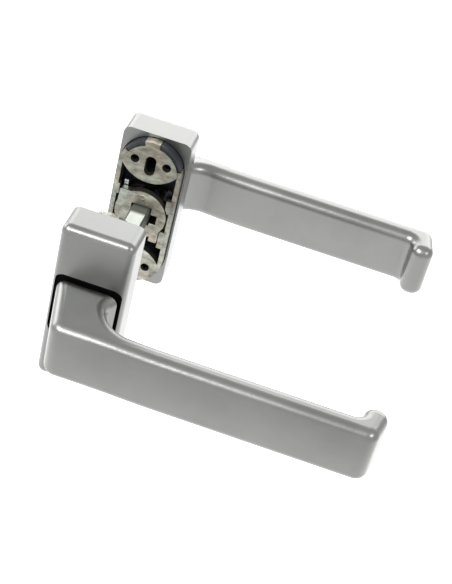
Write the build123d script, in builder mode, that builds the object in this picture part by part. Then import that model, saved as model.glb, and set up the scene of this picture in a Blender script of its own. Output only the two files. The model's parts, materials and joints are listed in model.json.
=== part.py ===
"""Lever handle set for a door: two mirrored levers on rectangular rosettes, one square spindle.

Frame: origin on the spindle axis in the middle of the door leaf, +X along the levers, +Y through
the door from the front side to the rear side, +Z up. Millimetres. Every piece of a side is made
for the front side (-Y), and its rear twin is the mirror image about the XZ plane. A distance
called "out" is measured from the middle of the door along the spindle.
"""

from build123d import *
from math import cos, pi
import os

os.makedirs("parts", exist_ok=True)

# ------------------------------------------------------------------ driving dimensions
door_thickness = 64.0

rosette_width = 30.0
rosette_height = 75.0
rosette_depth = 15.0
rosette_corner = 3.5
rosette_edge = 3.2
front_wall = 2.5

window_width = 27.4
window_height = 29.5
window_centre_z = 0.55
window_corner = 3.5

lever_gap = 0.35  # between the rosette's front and the root of the neck
root_width = 24.7
root_top = 12.75
root_bottom = -12.6
neck_front_x = -6.1
throat_radius = 12.5
throat_end_x = 22.0
grip_front_out = 72.0
grip_thickness = 10.4
grip_top = 9.3
grip_bottom = -15.9
grip_end_x = 122.0
return_end_x = 125.5
return_end_out = 53.9
return_thickness = 10.0
crown_radius = 85.0
lever_top_edge = 4.2
lever_bottom_edge = 3.5

spindle_size = 8.0
spindle_chamfer = 0.8
spindle_half_length = 60.5
socket_size = 8.1
socket_end_out = 61.0

cassette_protrusion = 5.0  # behind the rosette, into the door
cassette_end_centre = 22.25
cassette_radius = 13.8
recess_radius = 14.15
plate_inner_radius = 12.05
pad_bead_radius = 12.1
pad_arc_radius = 14.3
pad_arc_centre = 31.0
fixing_pitch = 50.0
fixing_slot_width = 4.7
fixing_slot_length = 9.4
locating_hole_x = 7.0
locating_hole_z = 26.5
locating_hole_diameter = 3.9

boss_radius = 10.0
running_clearance = 0.06
side_gap = 0.1
fit = 0.05  # clearance between pieces that are fastened to each other

# ------------------------------------------------------------------ stations along the spindle
rosette_back = door_thickness / 2
rosette_front = rosette_back + rosette_depth
recess_floor = rosette_front - front_wall
neck_root = rosette_front + lever_gap
plate_face = rosette_back - cassette_protrusion
rim_face = plate_face + 0.6
plate_back = plate_face + 3.0
rim_back = plate_face + 6.0
housing_floor_in = 38.7
housing_floor_out = 40.2
boss_end = 38.4
ring_in = 40.75
ring_out = 41.75
washer_in = 41.95
washer_out = 42.5
bearing_in = 42.6
bearing_front = rosette_front - 1.9

# ------------------------------------------------------------------ other shared sizes
groove_radius = 9.0
tenon_length = 2.3
tenon_inner_x = 6.6
tenon_outer_x = 9.4
tenon_width = 4.8
grub_out = 54.0
grub_radius = 3.0
grub_length = 8.0
grub_tip = spindle_size / 2 + 0.05  # below the axis, just clear of the spindle
hex_key = 3.0
hex_depth = 3.2


def across(out):
    """Plane across the spindle on the front side, local x = +X, local y = +Z, normal outwards."""
    return Plane.XZ.offset(out)


def obround(radius, mode=Mode.ADD):
    """Upright obround about the cassette's two end centres."""
    return SlotCenterToCenter(2 * cassette_end_centre, 2 * radius, rotation=90, mode=mode)


def export_pair(piece, name):
    """Write a front piece, and its mirror image for the rear side."""
    piece.part.label = f"front_{name}"
    export_step(piece.part, f"parts/front_{name}.step")
    with BuildPart() as twin:
        mirror(piece.part, about=Plane.XZ)
    twin.part.label = f"rear_{name}"
    export_step(twin.part, f"parts/rear_{name}.step")


# ------------------------------------------------------------------ lever
root_x = root_width / 2
grip_inner_out = grip_front_out - grip_thickness
throat_centre_out = grip_inner_out - throat_radius
end_slope = (return_end_x - grip_end_x) / (grip_front_out - return_end_out)
return_inner_x = return_end_x - return_thickness
return_foot_x = return_inner_x - end_slope * (grip_inner_out - return_end_out)
throat_root_x = 9.7
throat_root_out = 51.6
plan_height = 50.0  # taller than the lever

# Body between the lever's top and its underside: on the neck the top rises and the underside
# rises towards the root, and along the grip both turn level.
neck_depth = grip_front_out - neck_root
top_slope = (root_top - grip_top) / neck_depth
underside_slope = (root_bottom - grip_bottom) / neck_depth
fade_start_x = 10.0
fade_length = 28.0
past = 3.0  # how far this body reaches past the lever's outline
with BuildPart() as lever_height:
    for x in range(-24, 137, 8):
        fade = min(max((x - fade_start_x) / fade_length, 0), 1)
        share = (1 + cos(pi * fade)) / 2
        root_run = share * (neck_depth + past)
        front_run = -share * past
        with BuildSketch(Plane.YZ.offset(x)):
            with BuildLine():
                Polyline(
                    (past - neck_root, grip_top + top_slope * root_run),
                    (-past - grip_front_out, grip_top + top_slope * front_run),
                    (-past - grip_front_out, grip_bottom + underside_slope * front_run),
                    (past - neck_root, grip_bottom + underside_slope * root_run),
                    close=True,
                )
            make_face()
    loft()

with BuildPart() as lever:
    # From above: the neck, the grip and the short return at the free end.
    with BuildSketch(Plane.XY.offset(-plan_height / 2)) as plan:
        with BuildLine():
            flare = Line((root_x, -neck_root), (throat_root_x, -throat_root_out))
            throat = RadiusArc(flare @ 1, (throat_end_x, -grip_inner_out), -throat_radius)
            Polyline(
                throat @ 1,
                (return_foot_x, -grip_inner_out),
                (return_inner_x, -return_end_out),
                (return_end_x, -return_end_out),
                (grip_end_x, -grip_front_out),
                (neck_front_x, -grip_front_out),
                (-root_x, -neck_root),
                (root_x, -neck_root),
            )
        make_face()
        for corner, radius in (
            ((throat_root_x, -throat_root_out), 5.0),
            ((return_foot_x, -grip_inner_out), 3.4),
            ((return_inner_x, -return_end_out), 4.3),
            ((return_end_x, -return_end_out), 4.6),
        ):
            fillet(plan.vertices().sort_by_distance(corner)[0], radius)
    extrude(amount=plan_height)
    add(lever_height.part, mode=Mode.INTERSECT)
    # The front is slightly crowned, and meets both ends in rounded corners.
    with BuildSketch(Plane.YZ.offset(-crown_radius)):
        with Locations((crown_radius - grip_front_out, (grip_top + grip_bottom) / 2)):
            Circle(crown_radius)
    extrude(amount=3 * crown_radius, mode=Mode.INTERSECT)
    for corner_x, radius in ((neck_front_x, 5.6), (grip_end_x, 5.2)):
        upright = lever.edges().filter_by(lambda edge: abs(edge.tangent_at(0.5).Z) > 0.9)
        fillet(upright.sort_by_distance((corner_x, -grip_front_out, 0))[0], radius)
    around = lever.edges().filter_by(lambda edge: abs(edge.tangent_at(0.5).Z) < 0.9)
    rims = around.sort_by(Axis.Y).filter_by(lambda edge: edge.center().Y < -neck_root - fit)
    fillet(rims.filter_by(lambda edge: edge.center().Z > 0), lever_top_edge)
    low_edges = lever.edges().filter_by(lambda edge: edge.center().Z < root_bottom)
    fillet(low_edges.sort_by(Axis.Y)[:-1], lever_bottom_edge)
    # Round boss that turns in the rosette, with a groove for the retaining ring.
    with BuildSketch(across(boss_end)):
        Circle(boss_radius)
    extrude(amount=neck_root - boss_end)
    with BuildSketch(across(ring_in - fit)):
        Circle(boss_radius + 1)
        Circle(groove_radius, mode=Mode.SUBTRACT)
    extrude(amount=ring_out - ring_in + 2 * fit, mode=Mode.SUBTRACT)
    # Square socket for the spindle, and two slots for the tenons of the hub.
    with BuildSketch(across(boss_end)):
        Rectangle(socket_size, socket_size)
    extrude(amount=socket_end_out - boss_end, mode=Mode.SUBTRACT)
    with BuildSketch(across(boss_end)):
        with Locations((tenon_outer_x, 0), (-tenon_outer_x, 0)):
            Rectangle(2 * (tenon_outer_x - tenon_inner_x) + 2 * side_gap, tenon_width + 2 * side_gap)
    extrude(amount=tenon_length, mode=Mode.SUBTRACT)
    # Threaded hole for the grub screw, from below into the socket.
    with BuildSketch(Plane.XY.offset(grip_bottom)):
        with Locations((0, -grub_out)):
            Circle(grub_radius + fit)
    extrude(amount=-grip_bottom - spindle_size / 2, mode=Mode.SUBTRACT)
export_pair(lever, "lever")

# ------------------------------------------------------------------ grub screw
with BuildPart() as grub_screw:
    with BuildSketch(Plane.XY.offset(-grub_tip)):
        with Locations((0, -grub_out)):
            Circle(grub_radius)
    extrude(amount=-grub_length)
    chamfer(grub_screw.edges().filter_by(GeomType.CIRCLE), 0.5)
    with BuildSketch(Plane.XY.offset(-grub_tip - grub_length)):
        with Locations((0, -grub_out)):
            RegularPolygon(radius=hex_key / 2, side_count=6, major_radius=False)
    extrude(amount=hex_depth, mode=Mode.SUBTRACT)
export_pair(grub_screw, "grub_screw")

# ------------------------------------------------------------------ rosette cover
with BuildPart() as rosette:
    with BuildSketch(across(rosette_back)):
        RectangleRounded(rosette_width, rosette_height, rosette_corner)
    extrude(amount=rosette_depth)
    fillet(rosette.faces().sort_by(Axis.Y)[0].edges(), rosette_edge)
    with BuildSketch(across(rosette_back)):
        obround(recess_radius)
    extrude(amount=rosette_depth - front_wall, mode=Mode.SUBTRACT)
    with BuildSketch(across(recess_floor)):
        with Locations((0, window_centre_z)):
            RectangleRounded(window_width, window_height, window_corner)
    extrude(amount=front_wall, mode=Mode.SUBTRACT)
export_pair(rosette, "rosette")

# ------------------------------------------------------------------ neck bearing
flange_width = 27.9
flange_height = 34.0

with BuildPart() as neck_bearing:
    with BuildSketch(across(bearing_in)):
        with Locations((0, window_centre_z)):
            RectangleRounded(flange_width, flange_height, window_corner)
    extrude(amount=recess_floor - bearing_in)
    with BuildSketch(across(recess_floor)):
        with Locations((0, window_centre_z)):
            RectangleRounded(
                window_width - 2 * side_gap, window_height - 2 * side_gap, window_corner - side_gap
            )
    extrude(amount=bearing_front - recess_floor)
    with BuildSketch(across(bearing_in)):
        Circle(boss_radius + running_clearance)
    extrude(amount=rosette_depth, mode=Mode.SUBTRACT)
export_pair(neck_bearing, "neck_bearing")

# ------------------------------------------------------------------ washer and retaining ring
washer_radius = 13.0
ring_radius = 11.3
ring_opening = 9.0
ear_x = 6.0
ear_z = -9.6
ear_radius = 1.9
ear_hole_radius = 0.8

with BuildPart() as washer:
    with BuildSketch(across(washer_in)):
        Circle(washer_radius)
        Circle(boss_radius + running_clearance, mode=Mode.SUBTRACT)
    extrude(amount=washer_out - washer_in)
export_pair(washer, "washer")

with BuildPart() as retaining_ring:
    with BuildSketch(across(ring_in)):
        Circle(ring_radius)
        with Locations((0, -ring_radius)):
            Rectangle(ring_opening, ring_radius, mode=Mode.SUBTRACT)
        with Locations((ear_x, ear_z), (-ear_x, ear_z)):
            Circle(ear_radius)
            Circle(ear_hole_radius, mode=Mode.SUBTRACT)
        Circle(groove_radius + fit, mode=Mode.SUBTRACT)
    extrude(amount=ring_out - ring_in)
export_pair(retaining_ring, "retaining_ring")

# ------------------------------------------------------------------ base plate
claw_angles = ((16, 80), (108, 150))  # notches in the rim at the top end, degrees from +X
stop_inner_radius = 11.9
stop_height = 2.2
stop_face = plate_face + 0.2
stop_blocks = (  # centre x and z, width and height of the stops for the two lugs of the hub
    (-11.9, 9.3, 1.6, 5.2),
    (11.4, 7.25, 2.6, 6.5),
    (11.15, -10.2, 2.6, 8.6),
)


def rim_sector(start, stop):
    """Sector of a ring about the cassette's upper end centre that covers the rim."""
    with Locations((0, cassette_end_centre)):
        with BuildSketch(mode=Mode.PRIVATE) as sector:
            with BuildLine():
                sweep_arc = CenterArc((0, 0), 1.5 * cassette_radius, start, stop - start)
                Line(sweep_arc @ 1, (0, 0))
                Line((0, 0), sweep_arc @ 0)
            make_face()
            Circle(pad_bead_radius, mode=Mode.SUBTRACT)
        return sector.sketch


with BuildPart() as base_plate:
    with BuildSketch(across(rim_face)):
        obround(cassette_radius)
        obround(plate_inner_radius, mode=Mode.SUBTRACT)
    extrude(amount=rim_back - rim_face)
    # Thick pads at both ends, rounded towards the hub, with a raised bead along the outside.
    for end in (1, -1):
        with BuildSketch(across(plate_face)):
            with Locations((0, end * pad_arc_centre)):
                Circle(pad_arc_radius)
            obround(pad_bead_radius, mode=Mode.INTERSECT)
        extrude(amount=plate_back - plate_face)
    # Stops for the two lugs of the hub.
    with BuildSketch(across(stop_face)):
        for x, z, width, height in stop_blocks:
            with Locations((x, z)):
                Rectangle(width, height)
        obround(cassette_radius, mode=Mode.INTERSECT)
        Circle(stop_inner_radius, mode=Mode.SUBTRACT)
    extrude(amount=stop_height)
    # Fixing slots and locating holes through the pads.
    with BuildSketch(across(plate_face)):
        with Locations((0, fixing_pitch / 2), (0, -fixing_pitch / 2)):
            SlotOverall(fixing_slot_length, fixing_slot_width, rotation=90)
        with GridLocations(2 * locating_hole_x, 2 * locating_hole_z, 2, 2):
            Circle(locating_hole_diameter / 2)
    extrude(amount=plate_back - plate_face, mode=Mode.SUBTRACT)
    # Notches in which the claws of the housing stand.
    with BuildSketch(across(rim_face)):
        for start, stop in claw_angles:
            add(rim_sector(start, stop).moved(Location((0, cassette_end_centre, 0))))
    extrude(amount=rim_back - rim_face, mode=Mode.SUBTRACT)
export_pair(base_plate, "base_plate")

# ------------------------------------------------------------------ spring housing
housing_wall = 1.4
floor_bore_radius = 10.5
hole_margin = 0.8  # the housing's holes stand this far back from the plate's
slot_length = fixing_slot_length + 2 * hole_margin
slot_width = fixing_slot_width + 2 * hole_margin
claw_clearance = 1.5  # degrees, at each side of a notch
nib_depth = 0.7
nib_width = 6.0
nib_height = 2.0
nib_pitch = 36.0
nib_out = 35.0

with BuildPart() as spring_housing:
    with BuildSketch(across(rim_back)):
        obround(cassette_radius)
        obround(cassette_radius - housing_wall, mode=Mode.SUBTRACT)
    extrude(amount=housing_floor_out - rim_back)
    with BuildSketch(across(housing_floor_in)):
        obround(cassette_radius)
        Circle(floor_bore_radius, mode=Mode.SUBTRACT)
    extrude(amount=housing_floor_out - housing_floor_in)
    # Bosses under the pads that carry the plate, with the same slots and holes.
    for end in (1, -1):
        with BuildSketch(across(plate_back)):
            with Locations((0, end * pad_arc_centre)):
                Circle(pad_arc_radius - 0.6)
            obround(plate_inner_radius - 0.3, mode=Mode.INTERSECT)
        extrude(amount=housing_floor_in - plate_back)
    with BuildSketch(across(plate_back)):
        with GridLocations(2 * locating_hole_x, 2 * locating_hole_z, 2, 2):
            Circle(locating_hole_diameter / 2 + 0.3)
    extrude(amount=housing_floor_in - plate_back, mode=Mode.SUBTRACT)
    with BuildSketch(across(plate_back)):
        with Locations((0, fixing_pitch / 2), (0, -fixing_pitch / 2)):
            SlotOverall(slot_length, slot_width, rotation=90)
    extrude(amount=housing_floor_out - plate_back, mode=Mode.SUBTRACT)
    # Claws that stand in the notches of the plate's rim.
    with BuildSketch(across(rim_face + 0.4)):
        for start, stop in claw_angles:
            sector = rim_sector(start + claw_clearance, stop - claw_clearance)
            add(sector.moved(Location((0, cassette_end_centre, 0))))
        obround(cassette_radius - side_gap, mode=Mode.INTERSECT)
        obround(pad_bead_radius + side_gap, mode=Mode.SUBTRACT)
    extrude(amount=rim_back - rim_face)
    # Snap nibs that hold the rosette cover.
    with BuildSketch(across(nib_out)):
        with GridLocations(2 * recess_radius - nib_depth, nib_pitch, 2, 2):
            Rectangle(nib_depth, nib_width)
    extrude(amount=nib_height)
export_pair(spring_housing, "spring_housing")

# ------------------------------------------------------------------ hub
hub_radius = 11.4
barrel_radius = 9.5
hub_square = 9.2
hub_lugs = (  # centre x and z, width and height
    (-7.85, 6.95, 5.7, 5.9),
    (7.65, -8.15, 3.7, 8.3),
)
notch_x = 6.0
notch_z = -0.9
notch_width = 2.9
notch_height = 4.4

with BuildPart() as hub:
    with BuildSketch(across(plate_face)):
        Circle(hub_radius)
        for x, z, width, height in hub_lugs:
            with Locations((x, z)):
                Rectangle(width, height)
    extrude(amount=plate_back - plate_face)
    upright_edges = hub.edges().filter_by(Axis.Y)
    lug_corners = upright_edges.sort_by(lambda edge: edge.center().X ** 2 + edge.center().Z ** 2)[-2:]
    fillet(lug_corners, 0.8)
    with BuildSketch(across(plate_back)):
        Circle(barrel_radius)
    extrude(amount=boss_end - side_gap - plate_back)
    with BuildSketch(across(boss_end - side_gap)):
        tenon_middle_x = (tenon_inner_x + tenon_outer_x) / 2
        with Locations((tenon_middle_x, 0), (-tenon_middle_x, 0)):
            Rectangle(tenon_outer_x - tenon_inner_x, tenon_width)
    extrude(amount=tenon_length)
    with BuildSketch(across(plate_face)):
        Rectangle(hub_square, hub_square)
        with Locations((notch_x, notch_z)):
            Rectangle(notch_width, notch_height)
    extrude(amount=boss_end - plate_face, mode=Mode.SUBTRACT)
export_pair(hub, "hub")

# ------------------------------------------------------------------ return spring
wire_radial = 1.8
wire_axial = 1.4
coil_radius = 11.1
coil_in = 31.2
coil_out = 36.8
coil_turns = 3 + 248 / 360
coil_start_angle = 124  # turns the coil so that its ends meet the two legs
leg_x = 9.2
leg_foot = 5.6
inner_leg_top = 12.6
outer_leg_top = 9.8

with BuildPart() as return_spring:
    with BuildLine() as coil_line:
        coil = Helix(
            pitch=(coil_out - coil_in) / coil_turns,
            height=coil_out - coil_in,
            radius=coil_radius,
            center=(0, -coil_in, 0),
            direction=(0, -1, 0),
            mode=Mode.PRIVATE,
        )
        add(coil.rotate(Axis.Y, coil_start_angle))
    wire = coil_line.wires()[0]
    start = wire @ 0
    with BuildSketch(Plane(origin=start, x_dir=(start.X, 0, start.Z), z_dir=wire % 0)):
        Rectangle(wire_radial, wire_axial)
    sweep(path=wire, is_frenet=True)
    for x, out, top in ((-leg_x, coil_in, inner_leg_top), (leg_x, coil_out, outer_leg_top)):
        with BuildSketch(Plane.XY.offset(leg_foot)):
            with Locations((x, -out)):
                Rectangle(wire_radial, wire_axial)
        extrude(amount=top - leg_foot)
export_pair(return_spring, "return_spring")

# ------------------------------------------------------------------ spindle
with BuildPart() as spindle:
    with BuildSketch(Plane.XZ.offset(-spindle_half_length)):
        Rectangle(spindle_size, spindle_size)
    extrude(amount=2 * spindle_half_length)
    chamfer(spindle.edges().filter_by(Axis.Y), spindle_chamfer)
    chamfer(spindle.faces().filter_by(Axis.Y).edges(), 0.5)
spindle.part.label = "spindle"
export_step(spindle.part, "parts/spindle.step")
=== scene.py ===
import json

import bpy
from mathutils import Matrix, Vector


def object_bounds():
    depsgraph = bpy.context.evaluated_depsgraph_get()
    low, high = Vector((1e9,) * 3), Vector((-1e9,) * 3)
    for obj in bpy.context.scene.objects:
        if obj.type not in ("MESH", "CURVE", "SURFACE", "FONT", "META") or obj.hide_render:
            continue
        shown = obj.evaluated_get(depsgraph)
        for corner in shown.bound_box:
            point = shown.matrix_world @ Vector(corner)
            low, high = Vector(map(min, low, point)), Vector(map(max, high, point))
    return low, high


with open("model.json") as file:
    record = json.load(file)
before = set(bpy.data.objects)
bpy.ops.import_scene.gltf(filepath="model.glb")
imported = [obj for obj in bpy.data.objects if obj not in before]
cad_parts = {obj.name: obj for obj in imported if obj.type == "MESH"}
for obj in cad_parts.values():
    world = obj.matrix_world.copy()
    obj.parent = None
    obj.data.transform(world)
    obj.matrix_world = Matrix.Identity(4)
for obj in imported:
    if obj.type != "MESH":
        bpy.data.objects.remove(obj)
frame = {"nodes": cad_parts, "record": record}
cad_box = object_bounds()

# ------------------------------------------------------------------ sizes and places, metres
MM = 0.001
FLOOR_DROP = 60.0 * MM  # below the rosettes, so that the levers clear it at full travel
CAMERA_PLACE = Vector((0.09569, -0.49500, 0.37978))
CAMERA_FORWARD = Vector((-0.0774, 0.7877, -0.6112))
CAMERA_RIGHT = Vector((0.9456, 0.2523, 0.2054))
CAMERA_LENS = 93.89
FLOOR_HEIGHT = cad_box[0].z - FLOOR_DROP
FLOOR_REACH = 6.0
# Painted pool of light on the floor, fading out between the distances below.
GLOW_CENTRE = (0.05, 0.17, FLOOR_HEIGHT)
GLOW_STRENGTH = 0.92
GLOW_FULL, GLOW_GONE = 0.16, 0.53  # distances from the centre
FAR_BRIGHTENING_START, FAR_BRIGHTENING_FULL = 0.6, 1.6  # distances over which painted brightening turns the paper paler

HUB_MARK = (-0.3 * MM, 0, 8.35 * MM)
MARK_RIM_INNER, MARK_RIM_OUTER = 1.15 * MM, 1.4 * MM
MARK_HOLLOW_INNER, MARK_HOLLOW_OUTER = 0.6 * MM, 0.85 * MM
# Painted shade on the square bar, coming in between these distances towards the hubs.
SPINDLE_SHADE_START, SPINDLE_SHADE_FULL = 20.5 * MM, 22.5 * MM  # distances from the middle of the door
# Painted highlight on the spring's legs, coming in between these heights and distances.
LEG_DARK, LEG_BRIGHT = 7.0 * MM, 9.0 * MM  # heights on the spring's legs
LEG_INNER, LEG_OUTER = 7.6 * MM, 8.2 * MM  # distances of the legs' near side from the middle

# Sockets of the colour mixer, which has several with the same names.
FIRST_COLOUR, SECOND_COLOUR, MIXED = 6, 7, 2

nodes = frame["nodes"]


# ------------------------------------------------------------------ small helpers for node materials
def new_material(name):
    """A material with an empty tree but for the shader and the output."""
    material = bpy.data.materials.new(name)
    material.use_nodes = True
    tree = material.node_tree
    shader = tree.nodes["Principled BSDF"]
    return material, tree, shader


def link(tree, source, output, target, socket):
    tree.links.new(source.outputs[output], target.inputs[socket])


def object_noise(tree, scale, detail=4.0, roughness=0.55, stretch=(1, 1, 1)):
    """Noise in the object's own coordinates, which are the part's own frame in metres."""
    place = tree.nodes.new("ShaderNodeTexCoord")
    mapping = tree.nodes.new("ShaderNodeMapping")
    mapping.inputs["Scale"].default_value = stretch
    noise = tree.nodes.new("ShaderNodeTexNoise")
    noise.inputs["Scale"].default_value = scale
    noise.inputs["Detail"].default_value = detail
    noise.inputs["Roughness"].default_value = roughness
    link(tree, place, "Object", mapping, "Vector")
    link(tree, mapping, "Vector", noise, "Vector")
    return noise


def remap(tree, source, output, low, high, start=0.35, stop=0.65):
    """Spread a 0 to 1 pattern between two values."""
    spread = tree.nodes.new("ShaderNodeMapRange")
    spread.inputs["From Min"].default_value = start
    spread.inputs["From Max"].default_value = stop
    spread.inputs["To Min"].default_value = low
    spread.inputs["To Max"].default_value = high
    link(tree, source, output, spread, "Value")
    return spread


def mix_colours(tree, source, output, first, second):
    mixer = tree.nodes.new("ShaderNodeMix")
    mixer.data_type = "RGBA"
    mixer.inputs[FIRST_COLOUR].default_value = (*first, 1)
    mixer.inputs[SECOND_COLOUR].default_value = (*second, 1)
    tree.links.new(source.outputs[output], mixer.inputs[0])
    return mixer


def blend(tree, kind, first, second, share):
    """Combine two mixed colours, such as by multiplying them."""
    mixer = tree.nodes.new("ShaderNodeMix")
    mixer.data_type = "RGBA"
    mixer.blend_type = kind
    mixer.inputs[0].default_value = share
    tree.links.new(first.outputs[MIXED], mixer.inputs[FIRST_COLOUR])
    tree.links.new(second.outputs[MIXED], mixer.inputs[SECOND_COLOUR])
    return mixer


def maths(tree, operation, *sources):
    node = tree.nodes.new("ShaderNodeMath")
    node.operation = operation
    for place, source in enumerate(sources):
        tree.links.new(source, node.inputs[place])
    return node


def bump(tree, height, output, strength, distance, under=None):
    node = tree.nodes.new("ShaderNodeBump")
    node.inputs["Strength"].default_value = strength
    node.inputs["Distance"].default_value = distance
    link(tree, height, output, node, "Height")
    if under is not None:
        link(tree, under, "Normal", node, "Normal")
    return node


# ------------------------------------------------------------------ materials
def satin_aluminium():
    """Anodised aluminium: a fine matt grain, and faint clouds from blasting and handling."""
    material, tree, shader = new_material("satin_aluminium")
    shader.inputs["Metallic"].default_value = 1.0
    clouds = object_noise(tree, 45, 3)
    grain = object_noise(tree, 5200, 2, 0.7)
    tone = remap(tree, clouds, "Fac", 0.0, 1.0)
    colour = mix_colours(tree, tone, "Result", (0.185, 0.188, 0.182), (0.21, 0.213, 0.206))
    tree.links.new(colour.outputs[MIXED], shader.inputs["Base Color"])
    rough = remap(tree, clouds, "Fac", 0.31, 0.37)
    link(tree, rough, "Result", shader, "Roughness")
    relief = bump(tree, grain, "Fac", 0.25, 0.00002)
    link(tree, relief, "Normal", shader, "Normal")
    shader.inputs["Coat Weight"].default_value = 0.6
    shader.inputs["Coat Roughness"].default_value = 0.3
    shader.inputs["Coat IOR"].default_value = 1.6
    return material


def black_plastic():
    """Moulded plastic, bluish black, with the fine texture of an eroded mould."""
    material, tree, shader = new_material("black_plastic")
    texture = object_noise(tree, 2600, 3, 0.6)
    haze = object_noise(tree, 160, 3)
    tone = remap(tree, haze, "Fac", 0.0, 1.0)
    colour = mix_colours(tree, tone, "Result", (0.009, 0.011, 0.014), (0.02, 0.023, 0.028))
    tree.links.new(colour.outputs[MIXED], shader.inputs["Base Color"])
    rough = remap(tree, haze, "Fac", 0.42, 0.56)
    link(tree, rough, "Result", shader, "Roughness")
    relief = bump(tree, texture, "Fac", 0.4, 0.00003)
    link(tree, relief, "Normal", shader, "Normal")
    return material


def zinc_casting(name="zinc_casting", mark=None):
    """Passivated zinc die casting: grey skin with brown and greenish patches, flow marks, pits and
    painted glints.

    A mark is the place of a round ejector mark, which stands a little proud of the face.
    """
    material, tree, shader = new_material(name)
    shader.inputs["Metallic"].default_value = 1.0
    flow = object_noise(tree, 190, 6, 0.65, (1, 1, 1.8))
    patches = object_noise(tree, 95, 3, 0.5)
    specks = object_noise(tree, 1300, 3, 0.7)
    tone = remap(tree, flow, "Fac", 0.0, 1.0, 0.3, 0.7)
    grey = mix_colours(tree, tone, "Result", (0.12, 0.118, 0.104), (0.44, 0.435, 0.395))
    tint = remap(tree, patches, "Fac", 0.0, 1.0, 0.36, 0.64)
    patina = mix_colours(tree, tint, "Result", (1.04, 0.96, 0.88), (0.96, 1.01, 0.97))
    tinted = blend(tree, "MULTIPLY", grey, patina, 1.0)
    # Painted glints: random specks made brighter in the colour.
    glint = remap(tree, specks, "Fac", 0.0, 0.45, 0.62, 0.72)
    light = mix_colours(tree, glint, "Result", (1, 1, 1), (2.4, 2.4, 2.3))
    colour = blend(tree, "MULTIPLY", tinted, light, 1.0)
    tree.links.new(colour.outputs[MIXED], shader.inputs["Base Color"])
    rough = remap(tree, flow, "Fac", 0.52, 0.30, 0.3, 0.7)
    link(tree, rough, "Result", shader, "Roughness")
    waves = bump(tree, flow, "Fac", 0.7, 0.0003)
    relief = bump(tree, specks, "Fac", 0.4, 0.00006, waves)
    if mark is not None:
        place = tree.nodes.new("ShaderNodeTexCoord")
        flatten = tree.nodes.new("ShaderNodeMapping")
        flatten.inputs["Scale"].default_value = (1, 0, 1)
        link(tree, place, "Object", flatten, "Vector")
        distance = tree.nodes.new("ShaderNodeVectorMath")
        distance.operation = "DISTANCE"
        distance.inputs[1].default_value = mark
        link(tree, flatten, "Vector", distance, "Vector")
        inside = remap(tree, distance, "Value", 1.0, 0.0, MARK_RIM_INNER, MARK_RIM_OUTER)
        hollow = remap(tree, distance, "Value", 1.0, 0.0, MARK_HOLLOW_INNER, MARK_HOLLOW_OUTER)
        ring = maths(tree, "SUBTRACT", inside.outputs[0], hollow.outputs[0])
        relief = bump(tree, ring, "Value", 1.0, 0.0003, relief)
    link(tree, relief, "Normal", shader, "Normal")
    return material


def plated_steel():
    """Drawn square bar with faint lines along it: bright top and bottom, with painted shade in dark
    grey-green on the sides and near the hubs.
    """
    material, tree, shader = new_material("plated_steel")
    shader.inputs["Metallic"].default_value = 0.35
    shader.inputs["Roughness"].default_value = 0.4
    lines = object_noise(tree, 700, 3, 0.6, (1, 0.03, 1))
    tone = remap(tree, lines, "Fac", 0.0, 1.0)
    flat_colour = mix_colours(tree, tone, "Result", (0.70, 0.76, 0.69), (0.80, 0.85, 0.79))
    place = tree.nodes.new("ShaderNodeTexCoord")
    sides = tree.nodes.new("ShaderNodeSeparateXYZ")
    link(tree, place, "Normal", sides, "Vector")
    # Painted shade: faces that do not look up or down get the dark colour.
    upright = maths(tree, "ABSOLUTE", sides.outputs["Z"])
    flat = remap(tree, upright, "Value", 0.0, 1.0, 0.8, 0.95)
    stations = tree.nodes.new("ShaderNodeSeparateXYZ")
    link(tree, place, "Object", stations, "Vector")
    # Painted shade near the hubs, where the bar goes into their shadow.
    reach = maths(tree, "ABSOLUTE", stations.outputs["Y"])
    clear_of_hub_shade = remap(tree, reach, "Value", 1.0, 0.0, SPINDLE_SHADE_START, SPINDLE_SHADE_FULL)
    bright = maths(tree, "MULTIPLY", flat.outputs[0], clear_of_hub_shade.outputs[0])
    # The first colour is painted shade; the second is the bar's own bright colour.
    colour = mix_colours(tree, bright, "Value", (0.085, 0.098, 0.080), (1, 1, 1))
    tree.links.new(flat_colour.outputs[MIXED], colour.inputs[SECOND_COLOUR])
    tree.links.new(colour.outputs[MIXED], shader.inputs["Base Color"])
    relief = bump(tree, lines, "Fac", 0.12, 0.00002)
    link(tree, relief, "Normal", shader, "Normal")
    return material


def spring_wire():
    """Oiled spring wire, with a painted highlight on the two legs that stand up beside the barrel."""
    material, tree, shader = new_material("spring_wire")
    shader.inputs["Metallic"].default_value = 1.0
    stains = object_noise(tree, 300, 4, 0.6)
    tone = remap(tree, stains, "Fac", 0.0, 1.0)
    oiled = mix_colours(tree, tone, "Result", (0.05, 0.045, 0.045), (0.13, 0.115, 0.105))
    place = tree.nodes.new("ShaderNodeTexCoord")
    sides = tree.nodes.new("ShaderNodeSeparateXYZ")
    link(tree, place, "Object", sides, "Vector")
    # Painted highlight: the legs turn light above a height and away from the middle.
    leg = remap(tree, sides, "Z", 0.0, 1.0, LEG_DARK, LEG_BRIGHT)
    across = maths(tree, "ABSOLUTE", sides.outputs["X"])
    outer = remap(tree, across, "Value", 0.0, 1.0, LEG_INNER, LEG_OUTER)
    bright = maths(tree, "MULTIPLY", leg.outputs[0], outer.outputs[0])
    colour = mix_colours(tree, bright, "Value", (1, 1, 1), (0.42, 0.43, 0.46))
    tree.links.new(oiled.outputs[MIXED], colour.inputs[FIRST_COLOUR])
    tree.links.new(colour.outputs[MIXED], shader.inputs["Base Color"])
    rough = remap(tree, stains, "Fac", 0.25, 0.4)
    link(tree, rough, "Result", shader, "Roughness")
    relief = bump(tree, stains, "Fac", 0.3, 0.00004)
    link(tree, relief, "Normal", shader, "Normal")
    return material


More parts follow.
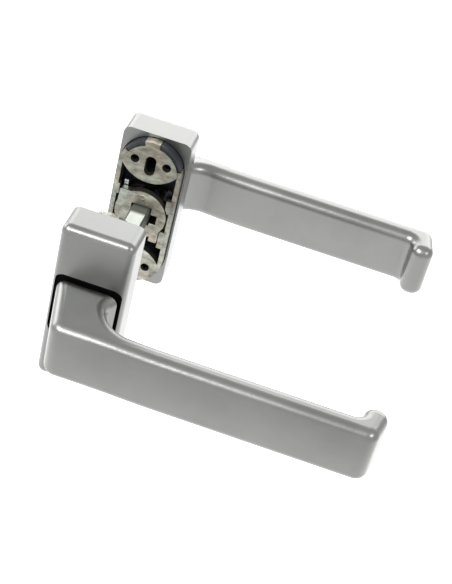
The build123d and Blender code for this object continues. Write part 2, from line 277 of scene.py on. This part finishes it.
def bearing_black():
    """Black plastic with a fine eroded texture, darkened to near pure black as painted shade in the gap
    around the lever's neck.
    """
    material, tree, shader = new_material("bearing_black")
    shader.inputs["Specular IOR Level"].default_value = 0.05
    texture = object_noise(tree, 2600, 3, 0.6)
    tone = remap(tree, texture, "Fac", 0.0, 1.0)
    # Its own black, darkened further as painted shade.
    colour = mix_colours(tree, tone, "Result", (0.0008, 0.0007, 0.0009), (0.002, 0.0018, 0.0022))
    tree.links.new(colour.outputs[MIXED], shader.inputs["Base Color"])
    rough = remap(tree, texture, "Fac", 0.55, 0.7)
    link(tree, rough, "Result", shader, "Roughness")
    relief = bump(tree, texture, "Fac", 0.3, 0.00003)
    link(tree, relief, "Normal", shader, "Normal")
    return material


def steel(name, dark, light, low, high):
    """Plain, oiled or blackened steel."""
    material, tree, shader = new_material(name)
    shader.inputs["Metallic"].default_value = 1.0
    stains = object_noise(tree, 300, 4, 0.6)
    tone = remap(tree, stains, "Fac", 0.0, 1.0)
    colour = mix_colours(tree, tone, "Result", dark, light)
    tree.links.new(colour.outputs[MIXED], shader.inputs["Base Color"])
    rough = remap(tree, stains, "Fac", low, high)
    link(tree, rough, "Result", shader, "Roughness")
    relief = bump(tree, stains, "Fac", 0.3, 0.00004)
    link(tree, relief, "Normal", shader, "Normal")
    return material


finishes = {
    "satin_aluminium": satin_aluminium(),
    "black_plastic": black_plastic(),
    "zinc_casting": zinc_casting(),
    "plated_steel": plated_steel(),
    "spring_steel": steel("spring_steel", (0.07, 0.07, 0.07), (0.16, 0.155, 0.15), 0.3, 0.45),
    "washer_steel": steel("washer_steel", (0.40, 0.40, 0.39), (0.5, 0.5, 0.49), 0.25, 0.4),
    "black_steel": steel("black_steel", (0.03, 0.03, 0.032), (0.06, 0.06, 0.065), 0.35, 0.5),
}
own_finishes = {
    "neck_bearing": bearing_black(),
    "return_spring": spring_wire(),
    "hub": zinc_casting("hub_casting", HUB_MARK),
}
for part in frame["record"]["subparts"]:
    node = nodes[part["node"]]
    piece = part["node"].partition("_")[2]  # the name without front or rear
    for place in node.material_slots:
        place.material = own_finishes.get(piece, finishes[part["material_slot"]])


# ------------------------------------------------------------------ stage
def stage_floor():
    """A pale sheet, well below the rosettes, with a painted pool of light glowing under the object and
    painted brightening that makes it paler far away.
    """
    mesh = bpy.data.meshes.new("floor")
    corners = [
        (-FLOOR_REACH, -FLOOR_REACH, FLOOR_HEIGHT),
        (FLOOR_REACH, -FLOOR_REACH, FLOOR_HEIGHT),
        (FLOOR_REACH, FLOOR_REACH, FLOOR_HEIGHT),
        (-FLOOR_REACH, FLOOR_REACH, FLOOR_HEIGHT),
    ]
    mesh.from_pydata(corners, [], [(0, 1, 2, 3)])
    floor = bpy.data.objects.new("floor", mesh)
    bpy.context.scene.collection.objects.link(floor)
    material, tree, shader = new_material("floor_paper")
    shader.inputs["Roughness"].default_value = 0.9
    shader.inputs["Emission Color"].default_value = (1, 1, 1, 1)
    place = tree.nodes.new("ShaderNodeTexCoord")
    distance = tree.nodes.new("ShaderNodeVectorMath")
    distance.operation = "DISTANCE"
    distance.inputs[1].default_value = GLOW_CENTRE
    link(tree, place, "Object", distance, "Vector")
    # Painted pool of light: the floor glows around the centre.
    glow = remap(tree, distance, "Value", GLOW_STRENGTH, 0.0, GLOW_FULL, GLOW_GONE)
    glow.interpolation_type = "SMOOTHSTEP"
    link(tree, glow, "Result", shader, "Emission Strength")
    # Painted light: the paper turns paler far away, so the distant floor looks brighter.
    far = remap(tree, distance, "Value", 0.0, 1.0, FAR_BRIGHTENING_START, FAR_BRIGHTENING_FULL)
    paper = mix_colours(tree, far, "Result", (0.48, 0.48, 0.48), (0.9, 0.9, 0.9))
    tree.links.new(paper.outputs[MIXED], shader.inputs["Base Color"])
    mesh.materials.append(material)


def soft_box(name, place, aim, width, height, watts):
    """A rectangular area light that points at a target."""
    lamp = bpy.data.lights.new(name, "AREA")
    lamp.shape = "RECTANGLE"
    lamp.size = width
    lamp.size_y = height
    lamp.energy = watts
    holder = bpy.data.objects.new(name, lamp)
    bpy.context.scene.collection.objects.link(holder)
    holder.location = place
    holder.rotation_mode = "QUATERNION"
    holder.rotation_quaternion = (Vector(aim) - Vector(place)).to_track_quat("-Z", "Y")


def studio():
    """Pale room, wide soft panels behind and at the left, and two soft boxes on the camera's side."""
    world = bpy.data.worlds.new("studio")
    bpy.context.scene.world = world
    world.use_nodes = True
    background = world.node_tree.nodes["Background"]
    background.inputs["Color"].default_value = (1, 1, 1, 1)
    background.inputs["Strength"].default_value = 0.9
    soft_box("back_panel", (0.0, 2.4, 1.1), (0.05, 0, 0), 4.0, 1.75, 60)
    soft_box("left_panel", (-2.3, 1.0, 0.75), (0, 0, 0), 1.8, 1.3, 26)
    soft_box("camera_box", (-0.95, -1.35, 1.5), (0, 0, 0), 1.3, 0.6, 50)
    soft_box("right_box", (1.4, -0.9, 1.2), (0.1, 0, 0), 0.4, 0.35, 9)
    bpy.context.scene.view_settings.view_transform = "Standard"


def camera():
    data = bpy.data.cameras.new("camera")
    data.sensor_fit = "AUTO"
    data.sensor_width = 36.0
    data.lens = CAMERA_LENS
    data.clip_start = 0.01
    data.clip_end = 50
    holder = bpy.data.objects.new("camera", data)
    bpy.context.scene.collection.objects.link(holder)
    back = -CAMERA_FORWARD.normalized()
    right = CAMERA_RIGHT.normalized()
    up = back.cross(right).normalized()
    turn = Matrix((right, up, back)).transposed()
    holder.matrix_world = Matrix.Translation(CAMERA_PLACE) @ turn.to_4x4()
    bpy.context.scene.camera = holder


stage_floor()
studio()
camera()
